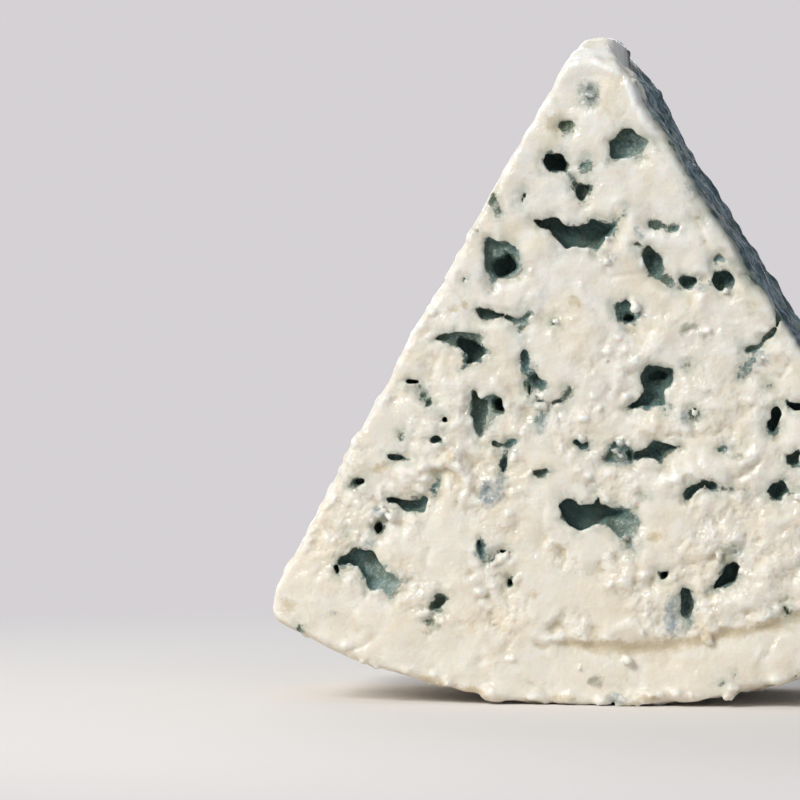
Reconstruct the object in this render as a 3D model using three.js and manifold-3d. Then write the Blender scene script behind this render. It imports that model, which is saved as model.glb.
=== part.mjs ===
// A wedge of blue-veined cheese, cut from the middle of a round wheel and standing on its rim, point up.
//
// Units are millimetres and degrees. +Z is up, +X is to the right seen from the front, and the front
// cut face looks along -Y. The origin is the middle of the flat foot that the soft rim has settled to.
//
// The wedge is one solid. Its outline is the sector between two knife cuts that meet near the wheel's
// centre, with a blunt point and rounded corners. It is carried through the thickness of the slice, and
// the larger mould cavities that the front cut opens are sunk into the front face.
import * as THREE from "three";
import { mergeVertices } from "three/addons/utils/BufferGeometryUtils.js";
import Module from "manifold-3d";

// Driving dimensions.
const WHEEL_RADIUS = 97.5; // the whole wheel is 195 across
const THICKNESS = 38; // of the slice, front cut to back cut
const LEFT_CUT = 29.1; // angle between the left cut and the vertical
const RIGHT_CUT = 32.2; // angle between the right cut and the vertical
const CUTS_MEET = -1.7; // x of the line where the two cuts meet, beside the wheel's centre
const POINT_RADIUS = 2.9; // of the blunt point
const CORNER_RADIUS = 3; // where each cut meets the rim
const FOOT_WIDTH = 16; // of the flat that the rim has settled to
const EDGE_RADIUS = 1.2; // all round the front and back faces

// How finely curves are divided.
const ARC_DIVISIONS = 11;
const EDGE_DIVISIONS = 3;
const CAVITY_DIVISIONS = [18, 12];

// Cavities are centred this share of their depth under the front face, so that the face cuts them open.
const CAVITY_SINK = 0.25;

// The mould cavities on the front face. `reach` is the distance from the wheel's centre as a share of its
// radius. `bearing` runs from -1 at the left cut through 0, straight down, to 1 at the right cut. Width,
// height and depth are in millimetres, and `tilt` turns the width anticlockwise from level, in degrees.
const CAVITIES = [
  { reach: 0.187, bearing: 0.44, width: 6.2, height: 3.8, depth: 2.6, tilt: 5 },
  { reach: 0.225, bearing: -0.6, width: 3.8, height: 2.8, depth: 5.0, tilt: -25 },
  { reach: 0.265, bearing: -0.18, width: 1.8, height: 3.2, depth: 3.0, tilt: -10 },
  { reach: 0.315, bearing: -0.19, width: 10.8, height: 4.2, depth: 4.5, tilt: -2 },
  { reach: 0.384, bearing: -0.73, width: 4.2, height: 3.8, depth: 5.0, tilt: 0 },
  { reach: 0.375, bearing: 0.38, width: 2.2, height: 3.2, depth: 2.4, tilt: -15 },
  { reach: 0.425, bearing: 0.76, width: 3.6, height: 2.6, depth: 4.0, tilt: -10 },
  { reach: 0.43, bearing: 0.18, width: 2.8, height: 2.8, depth: 2.8, tilt: 0 },
  { reach: 0.515, bearing: -0.73, width: 5.0, height: 3.0, depth: 5.0, tilt: -30 },
  { reach: 0.6, bearing: -0.55, width: 3.6, height: 5.4, depth: 3.2, tilt: -10 },
  { reach: 0.54, bearing: 0.27, width: 4.2, height: 5.2, depth: 4.0, tilt: -10 },
  { reach: 0.635, bearing: 0.73, width: 2.4, height: 3.8, depth: 5.0, tilt: 0 },
  { reach: 0.63, bearing: 0.26, width: 4.6, height: 1.8, depth: 2.6, tilt: 10 },
  { reach: 0.763, bearing: -0.74, width: 5.4, height: 2.4, depth: 2.6, tilt: 5 },
  { reach: 0.732, bearing: 0.65, width: 3.8, height: 2.2, depth: 3.4, tilt: -5 },
  { reach: 0.717, bearing: -0.01, width: 10.4, height: 3.4, depth: 4.5, tilt: -4 },
  { reach: 0.87, bearing: -0.77, width: 7.8, height: 3.2, depth: 2.2, tilt: -30 },
  { reach: 0.83, bearing: 0.42, width: 3.6, height: 2.6, depth: 5.0, tilt: 32 },
];

const radians = THREE.MathUtils.degToRad;

// Each cut line leaves `meet` along `along`, downwards. `inward` is its normal on the cheese's side.
function cutLine(angle, side) {
  return {
    along: new THREE.Vector2(side * Math.sin(angle), -Math.cos(angle)),
    inward: new THREE.Vector2(-side * Math.cos(angle), -Math.sin(angle)),
  };
}

// Centre of the circle of this radius that touches both cut lines.
function pointCentre(meet, left, right, radius) {
  const a = left.inward;
  const b = right.inward;
  const det = a.x * b.y - a.y * b.x;
  return new THREE.Vector2(
    meet.x + (radius * (b.y - a.y)) / det,
    meet.y + (radius * (a.x - b.x)) / det,
  );
}

// Centre of the circle of this radius that touches a cut line and the rim, from inside.
function cornerCentre(meet, cut, wheel, radius) {
  const start = meet.clone().addScaledVector(cut.inward, radius);
  const away = start.clone().sub(wheel);
  const half = away.dot(cut.along);
  const rest = away.lengthSq() - (WHEEL_RADIUS - radius) ** 2;
  return start.addScaledVector(cut.along, Math.sqrt(half * half - rest) - half);
}

// The sector's outline, in the plane of the front face, anticlockwise from the left corner.
function outline(wheel) {
  const meet = new THREE.Vector2(CUTS_MEET, wheel.y);
  const leftAngle = radians(LEFT_CUT);
  const rightAngle = radians(RIGHT_CUT);
  const left = cutLine(leftAngle, -1);
  const right = cutLine(rightAngle, 1);
  const leftCorner = cornerCentre(meet, left, wheel, CORNER_RADIUS);
  const rightCorner = cornerCentre(meet, right, wheel, CORNER_RADIUS);
  const point = pointCentre(meet, left, right, POINT_RADIUS);
  const rimFrom = leftCorner.clone().sub(wheel).angle();
  const rimTo = rightCorner.clone().sub(wheel).angle();
  const down = 1.5 * Math.PI;
  const footHalfAngle = Math.asin(FOOT_WIDTH / 2 / WHEEL_RADIUS);
  const facingLeft = Math.PI - leftAngle;
  const facingRight = rightAngle;

  const shape = new THREE.Shape();
  shape.absarc(leftCorner.x, leftCorner.y, CORNER_RADIUS, facingLeft, rimFrom);
  shape.absarc(wheel.x, wheel.y, WHEEL_RADIUS, rimFrom, down - footHalfAngle);
  shape.absarc(wheel.x, wheel.y, WHEEL_RADIUS, down + footHalfAngle, rimTo);
  shape.absarc(rightCorner.x, rightCorner.y, CORNER_RADIUS, rimTo, 2 * Math.PI + facingRight);
  shape.absarc(point.x, point.y, POINT_RADIUS, facingRight, facingLeft);
  shape.closePath();
  return shape;
}

// The outline carried through the thickness, with rounded edges. The extrusion runs along its own +Z,
// which is turned to run from the front face, at -Y, to the back.
function sliceGeometry(wheel) {
  const geometry = new THREE.ExtrudeGeometry(outline(wheel), {
    depth: THICKNESS - 2 * EDGE_RADIUS,
    curveSegments: ARC_DIVISIONS,
    bevelThickness: EDGE_RADIUS,
    bevelSize: EDGE_RADIUS,
    bevelOffset: -EDGE_RADIUS,
    bevelSegments: EDGE_DIVISIONS,
  });
  return geometry.translate(0, 0, EDGE_RADIUS - THICKNESS / 2).rotateX(Math.PI / 2);
}

// An ellipsoid that the front face cuts open.
function cavityGeometry(cavity, wheel) {
  const cutAngle = radians(cavity.bearing < 0 ? LEFT_CUT : RIGHT_CUT);
  const bearing = cavity.bearing * cutAngle;
  const distance = cavity.reach * WHEEL_RADIUS;
  return new THREE.SphereGeometry(1, ...CAVITY_DIVISIONS)
    .scale(cavity.width / 2, cavity.depth, cavity.height / 2)
    .rotateY(-radians(cavity.tilt))
    .translate(
      distance * Math.sin(bearing),
      CAVITY_SINK * cavity.depth - THICKNESS / 2,
      wheel.y - distance * Math.cos(bearing),
    );
}

const wasm = await Module();
wasm.setup();

function toManifold(geometry) {
  const bare = geometry.clone();
  bare.deleteAttribute("normal");
  bare.deleteAttribute("uv");
  const merged = mergeVertices(bare);
  return new wasm.Manifold(
    new wasm.Mesh({
      numProp: 3,
      vertProperties: new Float32Array(merged.attributes.position.array),
      triVerts: new Uint32Array(merged.index.array),
    }),
  );
}

function toGeometry(manifold) {
  const mesh = manifold.getMesh();
  const geometry = new THREE.BufferGeometry();
  geometry.setAttribute("position", new THREE.BufferAttribute(mesh.vertProperties, mesh.numProp));
  geometry.setIndex(new THREE.BufferAttribute(mesh.triVerts, 1));
  geometry.computeVertexNormals();
  return geometry;
}

function wedgeGeometry() {
  const wheel = new THREE.Vector2(0, Math.sqrt(WHEEL_RADIUS ** 2 - (FOOT_WIDTH / 2) ** 2));
  let solid = toManifold(sliceGeometry(wheel));
  for (const cavity of CAVITIES) solid = solid.subtract(toManifold(cavityGeometry(cavity, wheel)));
  return toGeometry(solid);
}

const paste = new THREE.MeshStandardMaterial({ color: 0xe9e2d3, roughness: 0.5, metalness: 0 });

const wedge = new THREE.Mesh(wedgeGeometry(), paste);
wedge.name = "cheese_wedge";

const part = new THREE.Group();
part.add(wedge);

export default part;
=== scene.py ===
"""The looks of a wedge of blue-veined cheese, standing on its rim with its point up.

The wedge is modelled as a field on a grid: each grid point holds its distance to the surface, negative
inside the cheese. The field starts as the CAD outline carried through the thickness. Waves, curds and
smears from the knife shift the surface, mould cavities are carved out of it, and crumbs are added. The
surface is then drawn through the field as one closed mesh. Lengths here are millimetres in the CAD frame,
except where a value goes to Blender, which takes metres.
"""
import math

import bmesh
import bpy
import numpy as np
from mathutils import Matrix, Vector


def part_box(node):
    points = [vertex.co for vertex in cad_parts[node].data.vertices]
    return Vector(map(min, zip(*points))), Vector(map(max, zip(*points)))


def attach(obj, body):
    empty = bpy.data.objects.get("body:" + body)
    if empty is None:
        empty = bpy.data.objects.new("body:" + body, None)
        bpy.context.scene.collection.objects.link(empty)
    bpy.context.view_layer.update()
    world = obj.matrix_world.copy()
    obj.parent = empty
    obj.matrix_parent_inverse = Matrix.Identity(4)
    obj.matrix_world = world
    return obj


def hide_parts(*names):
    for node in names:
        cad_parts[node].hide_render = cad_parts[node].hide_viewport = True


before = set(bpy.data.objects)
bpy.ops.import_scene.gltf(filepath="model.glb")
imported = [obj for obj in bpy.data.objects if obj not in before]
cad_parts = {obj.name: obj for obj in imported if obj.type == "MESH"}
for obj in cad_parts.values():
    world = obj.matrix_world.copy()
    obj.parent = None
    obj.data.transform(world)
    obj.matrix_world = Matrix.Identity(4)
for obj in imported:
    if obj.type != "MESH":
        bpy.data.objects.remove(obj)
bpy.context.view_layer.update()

MM = 0.001
NODE = "cheese_wedge"
CAD_LOW, CAD_HIGH = (np.array(corner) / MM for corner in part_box(NODE))

# The wheel that the wedge was cut from. Its centre line is at x = 0, this far above the floor.
WHEEL_RADIUS = 97.5
WHEEL_CENTRE = 97.17
HALF_THICKNESS = (CAD_HIGH[1] - CAD_LOW[1]) / 2

EDGE_RADIUS = 1.15  # of the soft edges round both cut faces
GRID_STEP = 0.34
GRID_MARGIN = 1.8
MOST_TRIANGLES = 260_000

rng = np.random.default_rng(20)


# ---------------------------------------------------------------------------------------------- noise

class Noise:
    """Smooth random values from about -1 to 1 that change over `cell` millimetres."""

    SIZE = 32

    def __init__(self, cell, octaves=1, squash=(1, 1, 1)):
        self.cell = cell
        self.squash = squash
        self.tables = [rng.uniform(-1, 1, (self.SIZE,) * 3).astype(np.float32) for _ in range(octaves)]

    def __call__(self, x, y, z):
        total, share, weight = 0, 0, 1
        for octave, table in enumerate(self.tables):
            scale = 2**octave / self.cell
            total = total + weight * self.lookup(table, x * scale, y * scale, z * scale)
            share += weight
            weight *= 0.5
        return total / share * 1.6

    def lookup(self, table, x, y, z):
        # A turned lattice keeps its grain off the wedge's own axes.
        sx, sy, sz = self.squash
        points = (
            0.8 * x * sx + 0.6 * z * sz + 7.3,
            0.96 * y * sy + 0.28 * x * sx,
            0.8 * z * sz - 0.6 * x * sx,
        )
        cells, fades = [], []
        for p in points:
            base = np.floor(p)
            part = (p - base).astype(np.float32)
            cells.append(base.astype(np.int32))
            fades.append(part * part * (3 - 2 * part))
        total = 0
        for corner in range(8):
            steps = [(corner >> axis) & 1 for axis in range(3)]
            index = [(c + s) % self.SIZE for c, s in zip(cells, steps)]
            weight = 1
            for fade, step in zip(fades, steps):
                weight = weight * (fade if step else 1 - fade)
            total = total + weight * table[tuple(np.broadcast_arrays(*index))]
        return total


def smoothstep(low, high, value):
    part = np.clip((value - low) / (high - low), 0, 1)
    return part * part * (3 - 2 * part)


def smooth_max(a, b, blend):
    share = np.clip(0.5 + 0.5 * (a - b) / blend, 0, 1)
    return b + (a - b) * share + blend * share * (1 - share)


def smooth_min(a, b, blend):
    return -smooth_max(-a, -b, blend)


def domes(x, z, cell, seed):
    """Height of close-packed round grains about `cell` across, in millimetres, on a flat field."""
    size = 97
    random = np.random.default_rng(seed)
    offset_x, offset_z = random.uniform(0, 1, (2, size, size))
    radius = random.uniform(0.45, 0.85, (size, size))
    gx, gz = x / cell, z / cell
    ix, iz = np.floor(gx).astype(int), np.floor(gz).astype(int)
    height = np.zeros(np.broadcast(gx, gz).shape)
    for dx in (-1, 0, 1):
        for dz in (-1, 0, 1):
            key = ((ix + dx) % size, (iz + dz) % size)
            away = (ix + dx + offset_x[key] - gx) ** 2 + (iz + dz + offset_z[key] - gz) ** 2
            height = np.maximum(height, np.sqrt(np.clip(radius[key] ** 2 - away, 0, None)))
    return height * cell


# ------------------------------------------------------------------------------------------- features

def outline_distance(u, v, points):
    """Signed distance to a closed outline in the plane, negative inside."""
    best = np.full(np.broadcast(u, v).shape, 1e9)
    inside = np.zeros(best.shape, bool)
    for (u0, v0), (u1, v1) in zip(points, points[1:] + points[:1]):
        eu, ev = u1 - u0, v1 - v0
        share = np.clip(((u - u0) * eu + (v - v0) * ev) / (eu * eu + ev * ev), 0, 1)
        best = np.minimum(best, (u - u0 - share * eu) ** 2 + (v - v0 - share * ev) ** 2)
        slope = eu / (ev or 1e-9)
        inside ^= ((v0 > v) != (v1 > v)) & (u < u0 + (v - v0) * slope)
    return np.where(inside, -1, 1) * np.sqrt(best)


def line_distance(u, v, points):
    """Distance to an open line through the points, in the plane."""
    best = np.full(np.broadcast(u, v).shape, 1e9)
    for (u0, v0), (u1, v1) in zip(points, points[1:]):
        eu, ev = u1 - u0, v1 - v0
        share = np.clip(((u - u0) * eu + (v - v0) * ev) / (eu * eu + ev * ev), 0, 1)
        best = np.minimum(best, (u - u0 - share * eu) ** 2 + (v - v0 - share * ev) ** 2)
    return np.sqrt(best)


def oval_distance(u, v, size, tilt):
    """Nearly the distance to an oval about the origin, negative inside."""
    turn = math.radians(tilt)
    a, b = size[0] / 2, size[1] / 2
    along = (u * math.cos(turn) + v * math.sin(turn)) / a
    across = (v * math.cos(turn) - u * math.sin(turn)) / b
    ratio = np.hypot(along, across)
    return ratio * (ratio - 1) / np.maximum(np.hypot(along / a, across / b), 1e-6)


class Face:
    """A flat side of the wedge: u and v run in it, and t runs inward from it."""

    def __init__(self, origin, u_axis, v_axis):
        self.origin = np.array(origin, float)
        self.axes = np.array([u_axis, v_axis, np.cross(v_axis, u_axis)], float)

    def local(self, x, y, z):
        away = (x - self.origin[0], y - self.origin[1], z - self.origin[2])
        return [sum(share * a for share, a in zip(axis, away) if share) for axis in self.axes]

    def place(self, u, v, t=0):
        return self.origin + np.array([u, v, t]) @ self.axes


WARPS = [Noise(2.4, 2), Noise(2.4, 2)]
FRAY = [Noise(1.0), Noise(1.0)]
KNOBBLE = Noise(0.8, 2)
WALL = Noise(1.7, 2)
WALL_INSET = 0.26  # keeps the walls in from the outline, because blending them with the face widens them
CARVE_BLEND = 0.32  # how softly a hollow's walls run out into its face


class Hollow:
    """A cavity that a face opens: an outline or an oval in the face, and a depth.

    `pale` is how far the mould on its walls has bloomed from dark teal to grey, and `olive` how far it
    has turned to green-brown. With a width, the points are an open line: a crack or a vein."""

    def __init__(self, shape, depth, pale=0.2, olive=0.0, tilt=0, width=None, warp=0.1):
        self.depth, self.pale, self.olive, self.tilt, self.warp = depth, pale, olive, tilt, warp
        self.width = width
        if isinstance(shape[0], tuple):
            self.points = list(shape)
            us, vs = zip(*self.points)
            self.centre = ((min(us) + max(us)) / 2, (min(vs) + max(vs)) / 2)
            self.reach = max(max(us) - min(us), max(vs) - min(vs)) / 2 + (width or 0)
        else:
            self.points = None
            self.centre, self.size = shape[:2], shape[2:]
            self.reach = max(self.size) / 2

    def outline(self, u, v):
        fray = 0.17 if self.points else min(0.34, 0.22 * min(self.size))
        wu = u + self.warp * WARPS[0](u, 5.0, v) + fray * FRAY[0](u, 2.0, v)
        wv = v + self.warp * WARPS[1](u, 9.0, v) + fray * FRAY[1](u, 2.0, v)
        if self.width:
            return line_distance(wu, wv, self.points) - self.width / 2
        if self.points:
            return outline_distance(wu, wv, self.points)
        return oval_distance(wu - self.centre[0], wv - self.centre[1], self.size, self.tilt)

    def side(self, u, v):
        """1 at the cavity's upper left, and -1 at its lower right."""
        return np.clip((v - self.centre[1] - u + self.centre[0]) / (1.4 * self.reach), -1, 1)

    def distance(self, u, v, t):
        """Signed distance to the cavity. Its upper left is undercut, and its lower right slopes."""
        flat = self.outline(u, v)
        rough = WALL(u, t, v)
        side = self.side(u, v)
        undercut = 0.2 * min(self.reach, 3) * np.sin(math.pi * np.clip(t / self.depth, 0, 1))
        slope = 0.75 * np.clip(t, 0, 2.5) * min(1, self.reach / 2.5)
        walls = WALL_INSET + flat - undercut * np.clip(side + 0.4, 0, 1) + 0.2 * rough
        walls = walls + slope * np.clip(-side, 0, 1)
        lumps = min(0.3, 0.2 * self.depth) * KNOBBLE(u, t, v)
        floor = t - self.depth * (1 + 0.15 * rough + 0.25 * side) + lumps
        return smooth_max(walls, floor, 0.45 * min(self.depth, 2 * self.reach))


# The front face's cavities, by outline. Each is seen from the front, x across and z up from the floor.
POOL = [(1.7, 76.8), (1.5, 79), (2.4, 80.3), (3.7, 81.1), (4.9, 80.9), (6.0, 80.3), (7.2, 79.9),
        (7.7, 79.4), (7.3, 78.2), (6.6, 77.2), (5.5, 76.8), (2.8, 77.1)]
TIP_HOLE = [(-8.3, 76.9), (-7.5, 77.8), (-5.6, 77.8), (-4.4, 76.9), (-4.2, 75.4), (-3.5, 74.2),
            (-3.9, 73.4), (-4.9, 74.3), (-6, 75.2), (-7.6, 75.4)]
THROAT = [(-3.3, 73.2), (-1.6, 73.3), (-1.5, 72), (-2.2, 70.3), (-2.7, 70.1), (-3.1, 71.5)]
BAT = [(-9.7, 68.6), (-8, 68.2), (-6.8, 68.7), (-6, 68.7), (-5.3, 67.9), (-4, 67.3), (-3.2, 67.1),
       (-2.8, 67.6), (-1.6, 68), (-1.2, 68.7), (0.3, 68.2), (2.8, 68.6), (2.9, 67.5), (2, 66),
       (1, 64.9), (0, 64), (-0.5, 63.2), (-1.3, 64.1), (-3.5, 64.2), (-5, 64.1), (-6, 65.1),
       (-6.8, 66.2), (-7.8, 67.2)]
SHIELD = [(-16, 65.7), (-13.2, 65), (-12, 64.7), (-10.9, 61.6), (-11.2, 60.5), (-13, 60.1),
          (-14.9, 60.3), (-15.4, 59), (-15.9, 61)]
SLIT = [(-17.1, 55.8), (-14.5, 55.2), (-12, 55), (-10.4, 55.7), (-9.3, 56.3), (-9.1, 55.4),
        (-9.9, 54.3), (-10.9, 53.4), (-12.4, 53.7), (-13.5, 54.4), (-16.8, 54.9)]
EYE = [(-20.1, 51.4), (-18, 51.3), (-16.9, 50.6), (-15.2, 49.6), (-16.3, 48.7), (-17.5, 48.1),
       (-19.5, 47.6), (-18.8, 49.2), (-20.2, 50.6)]
BROW = [(-23.2, 51.7), (-20.5, 52.8), (-18, 52.8), (-16.2, 51.7), (-16.9, 50.6), (-18.5, 50.9),
        (-20.2, 50.8), (-21.5, 51.1)]
DROP = [(6.3, 63.2), (6.9, 64.4), (7.6, 63.3), (8.7, 62.9), (9.4, 61.6), (9.1, 60.1), (8, 59.7),
        (7, 60.3), (6.4, 61.6)]
SEED = [(11.5, 60.2), (12.6, 60.4), (14.3, 60.1), (13.9, 59), (12.6, 58.5), (11.7, 59)]
SOCKET = [(15.4, 59.8), (16, 60.9), (18, 61), (19.3, 60.1), (19.6, 59), (18.5, 57.8), (17.9, 58.5),
          (17.3, 57.5), (16.1, 58.4)]
NOTCH = [(2.1, 56.4), (3.6, 57.1), (4.6, 56.5), (5.7, 56.5), (5.9, 55.2), (5.2, 54), (4.6, 52.9),
         (4, 53.8), (3.1, 54.5), (2.3, 55.4)]
CENTRE = [(6, 46.2), (7, 47.4), (9.9, 47.4), (10.3, 45.7), (9.5, 44.5), (10, 42.3), (9.2, 41.2),
          (8.3, 41.8), (6, 41.9), (4, 41.9), (5.8, 43.3), (6.7, 44.2), (6.4, 45.2)]
OLIVE_FIN = [(-7.2, 42.5), (-5.6, 43.4), (-4.4, 45.2), (-3.8, 44.5), (-3.9, 43), (-5, 42)]
SHAFT = [(-18.1, 44.3), (-17.1, 43.5), (-16.3, 42.6), (-15.9, 40.5), (-15.9, 38.1), (-16.6, 37),
         (-17.5, 37.3), (-18, 39.5), (-18.2, 42)]
SHAFT_EYE = [(-15.7, 43), (-14.2, 43.4), (-13.1, 42.2), (-13, 41.1), (-13.9, 40.7), (-15.1, 41.2)]
SHAFT_WALL = [(-17, 43.3), (-15, 43.8), (-14.6, 41.1), (-15.8, 39.4)]
LIP = [(5.5, 35.3), (7.4, 36.5), (9, 37.1), (11.1, 36.9), (11.4, 36), (9.4, 35.5), (8.7, 34.7),
       (9.3, 33.4), (8.3, 33.8), (7, 35.1)]
KEYHOLE = [(23.3, 39.4), (23.8, 41.5), (24.9, 42.1), (25.6, 41.2), (25.5, 39.3), (24.6, 38),
           (23.6, 38.1)]
STAR = [(23.1, 30.2), (24.4, 31.4), (25.8, 31.8), (26.5, 30.9), (27.6, 30.3), (26.3, 29.5),
        (25.4, 28.8), (24.4, 29.5)]
COVE = [(-6, 28.8), (-4, 29.2), (-3.2, 28.8), (-2.9, 28.2), (-1, 28.2), (-0.2, 30), (0.1, 28.4),
        (1.5, 28), (4.3, 28.4), (5.1, 27.3), (3.4, 26.2), (2.4, 25.3), (0.5, 25.8), (-1, 25.3),
        (-2.5, 24.7), (-4, 25.1), (-5.2, 26.7)]
COVE_TAIL = [(0.8, 26.5), (2.5, 24), (3.5, 22.1), (4.4, 21.3), (5, 22.6), (5.2, 27)]
BOOMERANG = [(-30.3, 29), (-28.6, 28.8), (-26.5, 29), (-24.6, 29.7), (-23.8, 31), (-22.8, 31.9),
             (-22.9, 30.2), (-23.9, 28.5), (-24.5, 26.9), (-25.1, 26), (-26.3, 26.9), (-27.6, 26.9),
             (-28.4, 28)]
CLEFT = [(-32.4, 24.8), (-31.4, 25.5), (-30.7, 24.7), (-31.3, 23.5), (-31.9, 23.1)]
LAGOON = [(-36.6, 20.4), (-35, 21.5), (-34, 21.7), (-32.3, 21.1), (-31.3, 19.7), (-30, 18.8),
          (-28.7, 18.1), (-27.4, 17.3), (-28.3, 16.4), (-29.5, 15.4), (-30.2, 14.7), (-30.8, 15.6),
          (-31.6, 16), (-32.9, 15.8), (-33.6, 17.5), (-34.3, 19), (-35.1, 19.7)]
WEDGELET = [(-14.9, 20.9), (-13.7, 22), (-13, 21.5), (-13.9, 20.5)]
BURROW = [(15.5, 16.4), (16.9, 18.2), (17.5, 19.5), (18.6, 20.2), (19.9, 20.1), (20, 18.6),
          (19.7, 17.1), (18.6, 16.8), (17.2, 16.8)]
CHISEL = [(11.7, 16.3), (12.6, 15.9), (13.2, 14), (12.9, 11.7), (12.2, 10.8), (11.8, 12.6),
          (11.5, 14.5)]


def crack(width, depth, pale, olive, *points):
    return Hollow(points, depth, pale, olive, width=width)


def pit(x, z, width, height, depth, pale, olive=0.0, tilt=0):
    return Hollow((x, z, width, height), depth, pale, olive, tilt)


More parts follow.
